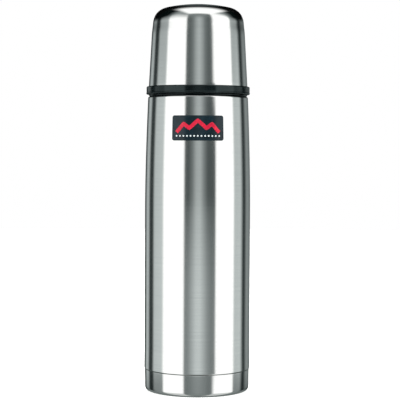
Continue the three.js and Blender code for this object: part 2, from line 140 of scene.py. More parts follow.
# polypropylene moulded in a fine spark-eroded tool: satin, with a tight even texture, a faint cool
# cast in its shine, and slightly paler where hands have rubbed it
mouldTexture = {"sizeMm": (0.45, 0.45, 0.45), "detail": 2.0, "rough": 0.08, "depthMm": 0.0025}
rubbedPatches = {"sizeMm": (17, 17, 17), "detail": 4.0, "between": (0.42, 0.75), "rough": -0.06,
                 "tints": True}
blackPolypropyleneLook = {
    "colours": ("#05090a", "#0d1415"), "roughness": 0.1,
    "shader": {"IOR": 1.49, "Specular IOR Level": 0.33, "Specular Tint": "#e5ffff"},
    "patterns": [mouldTexture, rubbedPatches],
}
greyPolypropyleneLook = {
    **blackPolypropyleneLook, "colours": ("#3a4043", "#4b5255"), "roughness": 0.3,
    "patterns": [{**mouldTexture, "depthMm": 0.006}, rubbedPatches],
}

# food-grade silicone rubber, press moulded: milky, soft highlights, a trace of dust in the surface
siliconeLook = {
    "colours": ("#c3c7c2", "#a9afa9"), "roughness": 0.42,
    "shader": {"IOR": 1.41, "Subsurface Weight": 0.25, "Subsurface Radius": (1.0, 0.95, 0.9),
               "Subsurface Scale": 1.5 * mm},
    "patterns": [{"sizeMm": (6, 6, 6), "detail": 3.0, "between": halves, "tints": True},
                 {"sizeMm": (0.3, 0.3, 0.3), "detail": 1.0, "rough": 0.12, "depthMm": 0.008}],
}


def enamelLook(colour, floorShadowColour):
    # enamel fired on a thin plate: glassy, with a faint orange peel and a slightly uneven depth, its
    # shine dulled by a thin lacquer
    return {
        "colours": (colour, floorShadowColour), "roughness": 0.16,
        "shader": {"IOR": 1.52, "Specular IOR Level": 0.22, "Coat Weight": 0.08, "Coat Roughness": 0.06},
        "patterns": [{"sizeMm": (1.6, 1.6, 1.6), "detail": 2.0, "rough": 0.10, "depthMm": 0.004},
                     {"sizeMm": (5, 5, 5), "detail": 3.0, "between": halves, "tints": True}],
    }


def bareMetalLook(colour, darkColour, roughness, sizeMm, depthMm, detail=3.0):
    # metal that one pattern darkens, dulls and raises together, so that it is lit unevenly
    return {
        "colours": (colour, darkColour), "roughness": roughness, "shader": {"Metallic": 1.0},
        "patterns": [{"sizeMm": sizeMm, "detail": detail, "between": halves, "rough": 0.12,
                      "depthMm": depthMm, "tints": True}],
    }


polishedSteel = newMaterial("stainlessSteelPolished", polishedSteelLook, "polished_steel")
pressedSteel = newMaterial("stainlessSteelPressed", pressedSteelLook, "inner_steel")
blackPlastic = newMaterial("polypropyleneBlackSatin", blackPolypropyleneLook, "black_plastic")
greyPlastic = newMaterial("polypropyleneGreySatin", greyPolypropyleneLook, "grey_plastic")
silicone = newMaterial("siliconeMoulded", siliconeLook, "silicone")
slateEnamel = newMaterial("enamelSlate", enamelLook("#0b191e", "#10222a"), "badge_enamel")
redEnamel = newMaterial("enamelRed", enamelLook("#c8203a", "#a81830"), "badge_enamel")
paleEnamel = newMaterial("enamelPale", enamelLook("#d6dcdc", "#b9c2c4"), "badge_enamel")

# stainless spring wire drawn through a die: bright, with darker lines from the drawing lubricant
wireLook = bareMetalLook("#b2b4b5", "#8d9091", 0.2, (4, 4, 0.25), 0.004, detail=2.0)
springWire = newMaterial("stainlessWireDrawn", wireLook, "spring_steel")

# copper foil, creased as it is wrapped; pressed getter powder, dark and grainy; solder that froze
# in ripples
foilLook = bareMetalLook("#c98a62", "#a9694a", 0.22, (9, 9, 14), 0.12)
copperFoil = newMaterial("copperFoil", foilLook, "copper_foil")
getterLook = bareMetalLook("#6c6e72", "#4b4d50", 0.65, (0.3, 0.3, 0.3), 0.05)
sinteredGetter = newMaterial("sinteredGetter", getterLook, "getter_metal")
solderLook = bareMetalLook("#a3a6a9", "#85888b", 0.35, (1.2, 1.2, 1.2), 0.05)
solderBead = newMaterial("solderBead", solderLook, "solder")
print("materials made:", len(bpy.data.materials))


# Surfaces worked out on grids

touching = 1e-6          # millimetres under which points count as one


def polar(radius, angle, *height):
    # points round the axis, or round a centre when no height is given
    return np.stack([radius * np.cos(angle), radius * np.sin(angle), *height], -1)


def gridMesh(name, points, along=False):
    # points is a grid of rows by columns by xyz, in millimetres. The columns close round, and the
    # rows too when along is set. A row whose points all coincide becomes one vertex, a pole
    rows, columns = points.shape[:2]
    poles = np.ptp(points, axis=1).max(axis=1) < touching
    counts = np.where(poles, 1, columns)
    starts = np.cumsum(counts) - counts
    index = starts[:, None] + np.where(poles[:, None], 0, np.arange(columns)[None, :])
    kept = np.ones((rows, columns), bool)
    kept[poles, 1:] = False
    upper = np.roll(index, -1, 0) if along else index[1:]
    lower = index if along else index[:-1]
    quads = np.stack([lower, np.roll(lower, -1, 1), np.roll(upper, -1, 1), upper], -1).reshape(-1, 4)
    doubled = quads == np.roll(quads, -1, 1)
    flat = doubled.sum(1)
    fans = quads[flat == 1]
    fans = fans[~doubled[flat == 1]].reshape(-1, 3)
    quads = quads[flat == 0]
    vertices = points[kept] * mm
    first, second, third, fourth = (vertices[quads[:, k]] for k in range(4))
    volume = np.sum(first * np.cross(second, third)) + np.sum(third * np.cross(fourth, first))
    if (along or poles[[0, -1]].all()) and volume < 0:    # a closed surface faces out
        quads, fans = quads[:, ::-1], fans[:, ::-1]
    mesh = bpy.data.meshes.new(name)
    mesh.from_pydata(vertices.tolist(), [], quads.tolist() + fans.tolist())
    mesh.validate()
    mesh.shade_smooth()
    mesh.set_sharp_from_angle(angle=crispEdge)
    return mesh


def finished(name, points, stuff, body, *nodes, along=False):
    # puts a grid of points in the scene as a piece that rides on a body and stands for CAD nodes
    material, slotName = stuff
    piece = bpy.data.objects.new(name, gridMesh(name, points, along))
    bpy.context.scene.collection.objects.link(piece)
    piece.data.materials.append(material)
    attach(piece, body)
    if nodes:
        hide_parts(*nodes)
    return piece


lineSet = {
    "edge": 0.25,          # how far from a corner an extra point keeps the shading flat
    "cornerFree": 0.2,     # no other extra point lies closer to a corner than this
    "extraFree": 0.1,      # nor closer to another extra point
}


def filled(line, step, fine):
    # adds points to the runs of a closed line: one beside each of its own points, and the rest at
    # even steps along its length; fine is (low, high, step) for closer steps between two heights
    edge = lineSet["edge"]
    ends = np.concatenate([line, line[:1]])
    length = np.concatenate([[0], np.cumsum(np.linalg.norm(np.diff(ends, axis=0), axis=1))])
    even = np.linspace(0, length[-1], max(2, math.ceil(length[-1] / step)))
    if fine:
        low, high, fineStep = fine
        closer = np.arange(0, length[-1], fineStep)
        height = np.interp(closer, length, ends[:, 1])
        even = np.concatenate([even, closer[(height > low) & (height < high)]])
    extra = np.concatenate([length[:-1] + edge, length[1:] - edge, even])
    near = np.abs(extra[:, None] - length[None, :]).min(1)
    extra = np.unique(np.round(extra[near > lineSet["cornerFree"]], 4))
    extra = extra[np.concatenate([[True], np.diff(extra) > lineSet["extraFree"]])]
    place = np.sort(np.concatenate([length[:-1], extra]))
    return np.stack([np.interp(place, length, ends[:, k]) for k in range(2)], 1)


def outline(corners, step=4.0, fine=None, arcStep=12):
    # corners are (radius, height, rounding) going up the outside and down the inside; each corner is
    # replaced by an arc of that radius which touches both sides, with a point every arcStep degrees
    corners = np.array([(*c, 0.0)[:3] for c in corners], float)
    spots, rounding = corners[:, :2], corners[:, 2]
    before, after = np.roll(spots, 1, 0) - spots, np.roll(spots, -1, 0) - spots
    before /= np.maximum(np.linalg.norm(before, axis=1, keepdims=True), 1e-9)
    after /= np.maximum(np.linalg.norm(after, axis=1, keepdims=True), 1e-9)
    straight = math.radians(89.5)
    made = []
    for spot, radius, back, on in zip(spots, rounding, before, after):
        half = math.acos(float(np.clip(back @ on, -1, 1))) / 2
        if radius <= 0 or half > straight:
            made.append(spot[None, :])
            continue
        reach = radius / math.tan(half)
        middle = spot + (back + on) / np.linalg.norm(back + on) * radius / math.sin(half)
        first, last = spot + back * reach - middle, spot + on * reach - middle
        start = math.atan2(first[1], first[0])
        sweep = (math.atan2(last[1], last[0]) - start + math.pi) % fullTurn - math.pi
        count = max(2, math.ceil(abs(math.degrees(sweep)) / arcStep) + 1)
        angles = start + np.linspace(0, 1, count) * sweep
        made.append(middle + polar(radius, angles))
    return filled(np.concatenate(made), step, fine)


def revolved(line, sides, relief=None):
    # turns a line of (radius, height) round the Z axis; relief(angle, radius, height) is added to
    # the radius
    angle = np.linspace(0, fullTurn, sides, endpoint=False)[None, :]
    radius, height = line[:, :1] + 0 * angle, line[:, 1:] + 0 * angle
    if relief is not None:
        radius = radius + relief(angle + 0 * radius, radius, height)
    return polar(radius, angle, height)


def turned(name, corners, stuff, body, *nodes, sides=240, relief=None, step=4.0, fine=None, at=(0, 0)):
    # a turned piece from its corners, about an axis through at. A profile that begins on the axis
    # ends there too
    onAxis = corners[0][0] == 0
    line = outline(corners, step, fine)
    if onAxis:
        line = line[:1 + int(np.flatnonzero(line[:, 0] < 1e-9)[1:].min())]
    points = revolved(line, sides, relief) + [*at, 0]
    return finished(name, points, stuff, body, *nodes, along=not onAxis)


def carried(path, side, section, capped=True):
    # a closed section of (across, up) points carried along a path, with side as the direction
    # across; capped closes both ends to a point
    upwards = section[None, :, 1:] * np.array([0.0, 0, 1])
    grid = path[:, None] + side[:, None] * section[None, :, :1] + upwards
    if capped:
        ends = np.repeat(path[[0, -1], None], len(section), 1)
        grid = np.concatenate([ends[:1], grid, ends[1:]])
    return grid


def flatStrip(path, tangent, section, capped):
    # a section carried along a flat path; the direction across is the tangent turned clockwise
    tangent = tangent / np.linalg.norm(tangent, axis=1, keepdims=True)
    side = np.stack([tangent[:, 1], -tangent[:, 0], 0 * tangent[:, 0]], 1)
    return carried(np.column_stack([path, 0 * path[:, 0]]), side, section, capped)


def roundSection(across, up, sides=14, squareness=1.0):
    # an ellipse, or with a squareness under 1 a rounder-cornered box of the same size
    angle = np.linspace(0, fullTurn, sides, endpoint=False)
    bend = lambda v: np.sign(v) * np.abs(v) ** squareness
    return np.stack([across * bend(np.cos(angle)), up * bend(np.sin(angle))], 1)


def coil(radius, wire, bottom, height, turns, flatTurns=0.75, evenShare=0.08, stepsPerTurn=40):
    # a spring wound anticlockwise: its height climbs evenly but for flatTurns at each end, which lie
    # almost flat: they climb only by evenShare of an even rise
    along = np.linspace(0, turns, int(turns * stepsPerTurn) + 1)
    rise = np.clip((along - flatTurns) / (turns - 2 * flatTurns), 0, 1)
    rise = (1 - evenShare) * rise + evenShare * along / turns
    angle = along * fullTurn
    path = polar(radius, angle, bottom + wire + rise * (height - 2 * wire))
    return carried(path, polar(1, angle, 0 * angle), roundSection(wire, wire))


def ridges(thread, wall, fadeShare=0.08, reach=0.02):
    # the ridges of a thread: their middles climb by lead each turn from the heights where the starts
    # begin, and each is a crest with slanted flanks that fades out over the last of its length. Only
    # what lies within reach of the wall's radius is raised
    def relief(angle, radius, height):
        raised = np.zeros_like(radius)
        for start in np.arange(thread["starts"]) * fullTurn / thread["starts"]:
            along = np.mod(angle - start, fullTurn) / fullTurn / thread["turns"]
            middle = thread["bottom"] + along * thread["turns"] * thread["lead"]
            flank = (thread["foot"] - thread["crest"]) / 2
            share = np.clip((thread["foot"] / 2 - np.abs(height - middle)) / flank, 0, 1)
            share = share * share * (3 - 2 * share)
            ends = np.clip(np.minimum(along, 1 - along) / fadeShare, 0, 1)
            raised = np.maximum(raised, share * ends * (along <= 1))
        return np.where(np.abs(radius - wall) < reach, raised * thread["height"], 0.0)
    return relief


def ringRounded(halfX, halfY, radius, perCorner=8, along=1):
    # a rectangle with round corners, as points going anticlockwise; along is the number of steps in
    # each straight side
    quarter = np.linspace(0, math.pi / 2, perCorner)
    angle = (np.arange(4)[:, None] * math.pi / 2 + quarter[None, :]).ravel()
    signX = np.repeat([1, -1, -1, 1], perCorner)
    signY = np.repeat([1, 1, -1, -1], perCorner)
    x = signX * (halfX - radius) + radius * np.cos(angle)
    y = signY * (halfY - radius) + radius * np.sin(angle)
    ring = np.stack([x, y], 1).reshape(4, perCorner, 2)
    share = np.linspace(0, 1, along, endpoint=False)[1:, None]
    sides = ring[:, -1:] + share * (np.roll(ring[:, 0], -1, 0)[:, None] - ring[:, -1:])
    return np.concatenate([ring, sides], 1).reshape(-1, 2)


def stacked(stations, halfX, halfY, radius, least, **ring):
    # rings of a rounded rectangle, one for each (inset, height, share): drawn in by the inset and
    # shrunk to the share; no corner gets rounder than least
    rings = []
    for inset, height, share in stations:
        outlined = share * ringRounded(halfX - inset, halfY - inset, max(radius - inset, least), **ring)
        rings.append(np.column_stack([outlined, np.full(len(outlined), height)]))
    return np.stack(rings)


def padRings(halfX, halfY, radius, thickness, bevel, inner, along):
    # a flat pad with round corners and a rounded rim: in across its back, round both rims and in
    # again over its face. The third column is the height above the back
    shares = np.linspace(0, 1, inner)
    drawn = [(bevel * (1 - math.sin(a)), bevel * (1 - math.cos(a))) for a in np.linspace(0, math.pi / 2, 5)]
    stations = [(bevel, 0.0, share) for share in shares]
    stations += [(inset, height, 1) for inset, height in drawn[1:]]
    stations += [(height, thickness - inset, 1) for inset, height in drawn]
    stations += [(bevel, thickness, share) for share in shares[::-1][1:]]
    return stacked(stations, halfX, halfY, radius, 0.05, along=along)


def block(low, high, radius, perCorner=5, steps=1):
    # a box with rounded edges: rings of a rounded rectangle, drawn in by a quarter circle at each end;
    # steps is the number of rings between the rounded ends
    low, high = np.array(low, float), np.array(high, float)
    middle, half = (low + high) / 2, (high - low) / 2
    quarter = np.linspace(0, math.pi / 2, perCorner)
    lifted, inwards = radius * (1 - np.cos(quarter)), radius * (1 - np.sin(quarter))
    side = np.linspace(-1, 1, steps + 1)[1:-1] * (half[2] - radius)
    sink = np.concatenate([[radius], inwards, 0 * side, lifted, [radius]])
    up = np.concatenate([[-half[2]], -half[2] + lifted, side, half[2] - inwards, [half[2]]])
    shares = np.ones(len(up))
    shares[[0, -1]] = 0
    return stacked(zip(sink, up, shares), half[0], half[1], radius, 0.02, perCorner=perCorner) + middle


def corner(node, which):
    # a CAD node's lowest (0) or highest (1) corner in millimetres
    return np.array(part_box(node)[which]) / mm


# Body

foot = corner("base_cap", 1)
bodySize = {
    "radius": 39.45, "taper": 2.05, "taperStart": 137.0, "taperPower": 1.75, "sideFrom": 117.0,
    "shoulderZ": 220.4, "shoulderRound": 1.4,
    "seamZ": foot[2] + 0.25, "seamRadius": 39.6, "flareHeight": 16.0,
    "spigotRadius": 37.8, "spigotBottom": corner("outer_shell", 0)[2],
    "wall": 0.5, "neckRadius": 30.7, "neckTop": corner("outer_shell", 1)[2],
}


def bodyRadius(z):
    # straight up to taperStart, then a power curve inwards to the shoulder
    s = bodySize
    length = s["shoulderZ"] - s["shoulderRound"] - s["taperStart"]
    rise = np.maximum(0, np.asarray(z, float) - s["taperStart"]) / length
    return s["radius"] - s["taper"] * rise ** s["taperPower"]


def outerShell(s):
    # up the outside from the spigot in the base cap to the neck, and down again a wall further in
    heights = np.linspace(s["sideFrom"], s["shoulderZ"] - s["shoulderRound"] - 0.01, 28)
    side = [(bodyRadius(z), z) for z in heights]
    top, topZ, wall = float(bodyRadius(s["shoulderZ"])), s["shoulderZ"], s["wall"]
    spigot, neck, seamZ = s["spigotRadius"], s["neckRadius"], s["seamZ"]
    corners = [
        (spigot - wall, s["spigotBottom"], 0.1), (spigot, s["spigotBottom"], 0.2), (spigot, seamZ, 0.2),
        (s["seamRadius"], seamZ, 0.45), (s["radius"], seamZ + s["flareHeight"]), *side,
        (top, topZ, s["shoulderRound"]), (neck, topZ, 0.6), (neck, s["neckTop"], 0.1),
        (neck - wall, s["neckTop"], 0.1), (neck - wall, topZ - wall, 1.1), (top - wall, topZ - wall, 0.9),
        *[(r - wall, z) for r, z in side[::-3]],
        (s["radius"] - wall, seamZ + wall, 0.4), (spigot - wall, seamZ + wall, 0.4),
    ]
    turned("outerShell", corners, polishedSteel, "flask", "outer_shell", sides=272)


baseSize = {
    "topRadius": foot[0], "bottomRadius": 38.9, "round": 3.1, "wall": 0.8, "top": foot[2],
    "recessRadius": 24.0, "recess": 2.0,
}


def baseCap(s):
    # from the raised middle of the underside out to the foot, up the side, and back inside
    wall, recess, inner, outer = s["wall"], s["recess"], s["recessRadius"], s["bottomRadius"]
    corners = [
        (0, recess), (inner - 1.5, recess, 1.2), (inner, 0, 0.9), (outer, 0, s["round"]),
        (s["topRadius"], s["top"], 0.35), (s["topRadius"] - wall, s["top"], 0.15),
        (outer - wall, wall, s["round"] - wall), (inner, wall, 0.6), (inner - 1.4, recess + wall, 0.8),
        (0, recess + wall),
    ]
    turned("baseCap", corners, polishedSteel, "flask", "base_cap", sides=320)


stopperThread = {"starts": 2, "lead": 8.0, "turns": 0.75, "bottom": 231.0, "foot": 2.0, "crest": 0.8,
                 "height": -1.1}
bottleSize = {
    "radius": 35.4, "wall": 0.5, "bottom": corner("inner_bottle", 0)[2], "bottomRound": 12.0,
    "shoulderZ": 194.0, "shoulderRound": 16.0, "throatRadius": 23.0, "neckRadius": 26.5,
    "ledgeZ": 222.0, "rimZ": corner("inner_bottle", 1)[2], "rimRadius": 30.7,
    "threadFill": (228, 245, 0.4),    # heights between which the lines are closer, and their step
}


def innerBottle(s):
    # a straight wall, a shoulder bent through 75 degrees, the throat, a ledge and a rim, then the
    # same again a wall further in
    def side(inwards):
        centre = [s["radius"] - s["shoulderRound"], s["shoulderZ"]]
        bend = centre + polar(s["shoulderRound"] - inwards, np.radians(np.linspace(0, 75, 16)))
        return [(s["radius"] - inwards, s["bottom"] + inwards, s["bottomRound"] - inwards), *bend,
                (s["throatRadius"] - inwards, s["shoulderZ"] + s["shoulderRound"], 1.0)]
    wall, neck, throat, ledge, rim = s["wall"], s["neckRadius"], s["throatRadius"], s["ledgeZ"], s["rimZ"]
    corners = [
        (0, s["bottom"]), *side(0), (throat, ledge - 2, 1.0), (neck, ledge - wall, 1.0),
        (neck, rim - wall, 0.3), (s["rimRadius"], rim - wall, 0.15), (s["rimRadius"], rim, 0.35),
        (neck - wall, rim, 0.9), (neck - wall, ledge, 0.5), (throat - wall, ledge, 0.5),
        *side(wall)[::-1], (0, s["bottom"] + wall),
    ]
    turned("innerBottle", corners, pressedSteel, "flask", "inner_bottle", sides=208,
           relief=ridges(stopperThread, neck - wall), fine=s["threadFill"])


def meshing(thread, drop=2.0):
    # the thread that runs between another's ridges: it faces the other way, a drop lower
    return {**thread, "bottom": thread["bottom"] - drop, "height": -thread["height"]}


cupThread = {"starts": 4, "lead": 16.0, "turns": 0.5, "bottom": 226.0, "foot": 2.1, "crest": 0.5,
             "height": 1.2}
collarSize = {
    "bore": 31.0, "radius": 33.0, "flangeRadius": corner("neck_collar", 1)[0],
    "bottom": corner("neck_collar", 0)[2], "flange": 0.75, "top": corner("neck_collar", 1)[2],
    "threadFill": (225, 236, 0.17),
}


def neckCollar(s):
    # a flange on the shoulder and a sleeve above it that carries the cup's thread
    low, over = s["bottom"], s["bottom"] + s["flange"]
    corners = [
        (s["bore"] + 0.4, low, 0.3), (s["flangeRadius"], low, 0.25), (s["flangeRadius"], over, 0.3),
        (s["radius"], over, 0.4), (s["radius"], s["top"], 0.5), (s["bore"], s["top"], 0.3),
        (s["bore"], low + 0.6, 0.3),
    ]
    turned("neckCollar", corners, blackPlastic, "flask", "neck_collar", sides=256,
           relief=ridges(cupThread, s["radius"]), step=1.2, fine=s["threadFill"])


outerShell(bodySize)
baseCap(baseSize)
innerBottle(bottleSize)
neckCollar(collarSize)
print("body made")


# Badge

badgeSize = {
    "halfWidth": 19.2, "halfHeight": 9.15, "middleZ": 196.45, "corner": 1.6,
    "lift": 0.04, "thickness": 0.5, "bevel": 0.18,
    "rimInset": 0.9, "rimCorner": 1.0, "rimHalfWidth": 0.16, "rimHeight": 0.09,
}
peaksSize = {
    # three peaks, as shares of the width and of the height
    "across": [0, 0.17, 0.30, 0.5, 0.70, 0.83, 1.0], "up": [0, 0.72, 0.34, 1.0, 0.34, 0.72, 0.0],
    "left": -15.6, "right": 15.6, "bottom": -3.1, "height": 8.6, "stroke": 1.35, "raise": 0.12,
}
dotsSize = {"count": 13, "halfSpan": 15.6, "z": -5.75, "radius": 0.62, "raise": 0.1}


def onBadge(flat, lift=badgeSize["thickness"]):
    # wraps (across, up, out) round the front of the body: across is an arc length at the body's
    # radius, up is measured from the badge's middle and out from the plate's face
    z = badgeSize["middleZ"] + flat[..., 1]
    angle = flat[..., 0] / bodyRadius(badgeSize["middleZ"])
    radius = bodyRadius(z) + (badgeSize["lift"] + lift) + flat[..., 2]
    return np.stack([radius * np.sin(angle), -radius * np.cos(angle), z], -1)


def badgePlate(s):
    rings = padRings(s["halfWidth"], s["halfHeight"], s["corner"], s["thickness"], s["bevel"], 24, 24)
    finished("badgePlate", onBadge(rings, 0), slateEnamel, "flask", "badge_plate")


def badgeRim(s):
    # the thin raised frame: a rounded bead carried along the outline of the plate
    inset = s["rimInset"]
    path = ringRounded(s["halfWidth"] - inset, s["halfHeight"] - inset, s["rimCorner"], 12, along=24)
    section = roundSection(s["rimHalfWidth"], s["rimHeight"], 12)
    flat = flatStrip(path, np.roll(path, -1, 0) - np.roll(path, 1, 0), section, capped=False)
    finished("badgeRim", onBadge(flat), slateEnamel, "flask", along=True)


def badgePeaks(s):
    # three mountain peaks as one broad zigzag line: a ribbon of constant width carried along a path
    # of straight runs, with a rounded back and closed ends
    x = np.array(s["across"]) * (s["right"] - s["left"]) + s["left"]
    spots = np.stack([x, np.array(s["up"]) * s["height"] + s["bottom"]], 1)
    shares = np.linspace(0, 1, 12, endpoint=False)[None, :, None]
    path = (spots[:-1, None] + shares * np.diff(spots, axis=0)[:, None]).reshape(-1, 2)
    path = np.concatenate([path, spots[-1:]])
    section = roundSection(s["stroke"], s["raise"], 16, 0.5)
    flat = flatStrip(path, np.gradient(path, axis=0), section, capped=True)
    finished("badgePeaks", onBadge(flat), redEnamel, "flask")


def badgeDots(s):
    # a row of small domed studs below the peaks
    bend = np.linspace(0, math.pi, 9)[:, None]
    angle = np.linspace(0, fullTurn, 20, endpoint=False)[None, :]
    out = -s["raise"] * np.cos(bend) + 0 * angle
    for number, x in enumerate(np.linspace(-s["halfSpan"], s["halfSpan"], s["count"])):
        stud = polar(s["radius"] * np.sin(bend), angle, out) + [x, s["z"], 0]
        finished(f"badgeDot{number + 1:02d}", onBadge(stud), paleEnamel, "flask")


badgePlate(badgeSize)
badgeRim(badgeSize)
badgePeaks(peaksSize)
badgeDots(dotsSize)
print("badge made")


# Cup

cupSize = {
    "footRadius": corner("cup_shell", 1)[0], "footZ": 228.0, "slope": 0.054,
    "height": corner("cup_shell", 1)[2] - 0.9,
    "round": 12.5, "roundZ": 274.2, "bottom": corner("cup_shell", 0)[2], "wall": 0.5, "lip": 0.2,
    "easeFrom": 267.0, "easeTo": 284.0, "ease": 0.4,    # the wall starts to lean before the fillet
    "linerGap": 0.3, "linerWall": 1.2, "linerBottom": corner("cup_liner", 0)[2], "linerLip": 0.4,
}


def cupLine(s, inwards, bottom):
    # a straight tapered wall, a round fillet and a crowned top, each tangent to the next, moved
    # inwards by a depth; from the bottom up to the axis. The ease is a squared sine of the height
    slope, footZ, roundZ, bend = s["slope"], s["footZ"], s["roundZ"], s["round"]
    centre = s["footRadius"] - slope * (roundZ - footZ) - bend * math.hypot(1, slope)
    rise = s["height"] - roundZ
    crown = (centre ** 2 + rise ** 2 - bend ** 2) / (2 * (rise - bend))
    low, meet = math.atan(slope), math.acos(centre / (crown - bend))
    start, end = max(bottom, footZ), roundZ + bend * math.sin(low) - 0.2
    z = np.concatenate([np.linspace(bottom, start, 4)[:-1], np.linspace(start, end, 24)])
    wall = np.stack([s["footRadius"] - slope * np.maximum(0, z - footZ) - inwards, z], 1)
    fillet = [centre, roundZ] + polar(bend - inwards, np.linspace(low, meet, 30))
    cap = [0, s["height"] - crown] + polar(crown - inwards, np.linspace(meet, math.pi / 2, 24)[1:])
    cap[-1, 0] = 0
    line = np.concatenate([wall, fillet, cap])
    eased = np.clip((line[:, 1] - s["easeFrom"]) / (s["easeTo"] - s["easeFrom"]), 0, 1)
    line[:, 0] -= s["ease"] * np.sin(math.pi * eased) ** 2
    return line


def cupSkin(name, s, depths, bottom, edge, stuff, body, node):
    # the space between two depths below the cup's outer face, joined by a round edge at the mouth
    outside, inside = (cupLine(s, depth, bottom + edge) for depth in depths)
    middle = (outside[0] + inside[0]) / 2
    angle = np.linspace(math.pi, fullTurn, 9)[1:-1]
    half = (outside[0, 0] - inside[0, 0]) / 2
    lip = np.stack([middle[0] + half * np.cos(angle), middle[1] + edge * np.sin(angle)], 1)
    line = np.concatenate([inside[::-1], lip, outside])
    finished(name, revolved(line, 320), stuff, body, node)


bandSize = {
    "radius": corner("cup_band", 1)[0], "bottom": corner("cup_band", 0)[2], "top": 227.8, "round": 0.8,
    "lip": 1.1, "lipStep": 0.18,
    "skirtRadius": 34.6, "skirtOuter": 35.9, "skirtTop": corner("cup_band", 1)[2],
    "groove": corner("cup_shell", 0)[2] - 0.3, "grip": corner("cup_shell", 1)[0] + 0.05,
}


def cupBand(s):
    # a ring with a lip at its foot, a groove that grips the steel, and a skirt with the thread inside
    low, radius, skirt, lip = s["bottom"], s["radius"], s["skirtRadius"], s["bottom"] + s["lip"]
    step = radius - s["lipStep"]
    corners = [
        (skirt, low, 0.4), (radius - 0.5, low, 0.35), (radius, low + 0.6, 0.4), (radius, lip, 0.2),
        (step, lip + 0.35, 0.3), (step, s["top"], s["round"]), (s["grip"], s["top"], 0.25),
        (s["grip"], s["groove"], 0.1), (s["skirtOuter"], s["groove"], 0.1),
        (s["skirtOuter"], s["skirtTop"], 0.4), (skirt, s["skirtTop"], 0.4),
    ]
    turned("cupBand", corners, blackPlastic, "cup", "cup_band", sides=288,
           relief=ridges(meshing(cupThread), skirt), step=0.3)


linerFrom = cupSize["wall"] + cupSize["linerGap"]
cupSkin("cupShell", cupSize, (0, cupSize["wall"]), cupSize["bottom"], cupSize["lip"],
        polishedSteel, "cup", "cup_shell")
cupSkin("cupLiner", cupSize, (linerFrom, linerFrom + cupSize["linerWall"]), cupSize["linerBottom"],
        cupSize["linerLip"], blackPlastic, "cup_carrier", "cup_liner")
cupBand(bandSize)
print("cup made")


# Inside the vacuum jacket

jacketSize = {
    "plateZ": 11.0, "plateRadius": 37.0, "wall": 0.8, "rimZ": corner("vacuum_base", 0)[2], "portRadius": 1.5,
    "getterAt": (14, 6), "getterZ": 12.1, "foilRadius": (35.7, 35.95), "foilZ": (32, 188),
}


def vacuumJacket(s):
    # the plate that closes the jacket, the solder in its port, the getter in its cup, and the foil
    z, wall, port, plate = s["plateZ"], s["wall"], s["portRadius"], s["plateRadius"]
    turned("vacuumBase", [
        (port, z, 0.1), (plate - wall, z, 0.6), (plate - wall, s["rimZ"], 0.2), (plate, s["rimZ"], 0.2),
        (plate, z + wall, 0.9), (port, z + wall, 0.1),
    ], pressedSteel, "flask", "vacuum_base")
    turned("portSeal", [
        (0, z - 1.8), (2.2, z - 1.5, 0.8), (3, z - 0.3, 0.2), (port - 0.3, z - 0.3, 0.2),
        (port - 0.3, z + wall, 0.4), (0, z + wall + 0.4),
    ], solderBead, "flask", "port_seal", sides=64, step=0.5)
    z = s["getterZ"]
    turned("getterCup", [
        (0, z), (5.2, z, 0.6), (6, z + 2.8, 0.15), (5.5, z + 2.8, 0.15), (4.8, z + 0.5, 0.5), (0, z + 0.5),
    ], pressedSteel, "flask", "getter_cup", sides=96, step=0.8, at=s["getterAt"])
    turned("getterPellet", [
        (0, z + 0.8), (4.2, z + 0.8, 0.2), (4.4, z + 2.1, 0.3), (0, z + 2.4),
    ], sinteredGetter, "flask", "getter_pellet", sides=96, step=0.5, at=s["getterAt"])
    (inner, outer), (low, high) = s["foilRadius"], s["foilZ"]
    turned("radiationFoil", [
        (inner, low, 0.05), (outer, low, 0.05), (outer, high, 0.05), (inner, high, 0.05),
    ], copperFoil, "flask", "radiation_foil", step=6.0)


vacuumJacket(jacketSize)
print("vacuum jacket made")


# Stopper

housingSize = {
    "bottom": corner("stopper_housing", 0)[2], "radius": 24.5, "bore": 22.3, "top": 247.0, "flange": 244.8,
    "flangeRadius": 27.6, "seatBore": 13.5, "seatRadius": 21.9, "seat": 1.8, "wellRadius": 18.3,
    "gasketRadius": 20.3, "gasketZ": (222.1, 225.5), "hub": (3.4, 5.2), "hubZ": 228.0,
    "springSeat": 237.2, "springSeatRadius": 9.0, "spokes": 4, "spokeHalfWidth": 0.9,
    "keyGuides": {
        "keyPost": ((-3.6, 14.9, 235.8), (3.6, 16.2, 255)),
        "keyPostFoot": ((-3.6, 15.2, 235.8), (3.6, 23.1, 237.8)),
        "keyShelf": ((-5, 23.4, 246.0), (5, 27, 249.3)),
    },
    "threadFill": (227, 241, 0.3),
}


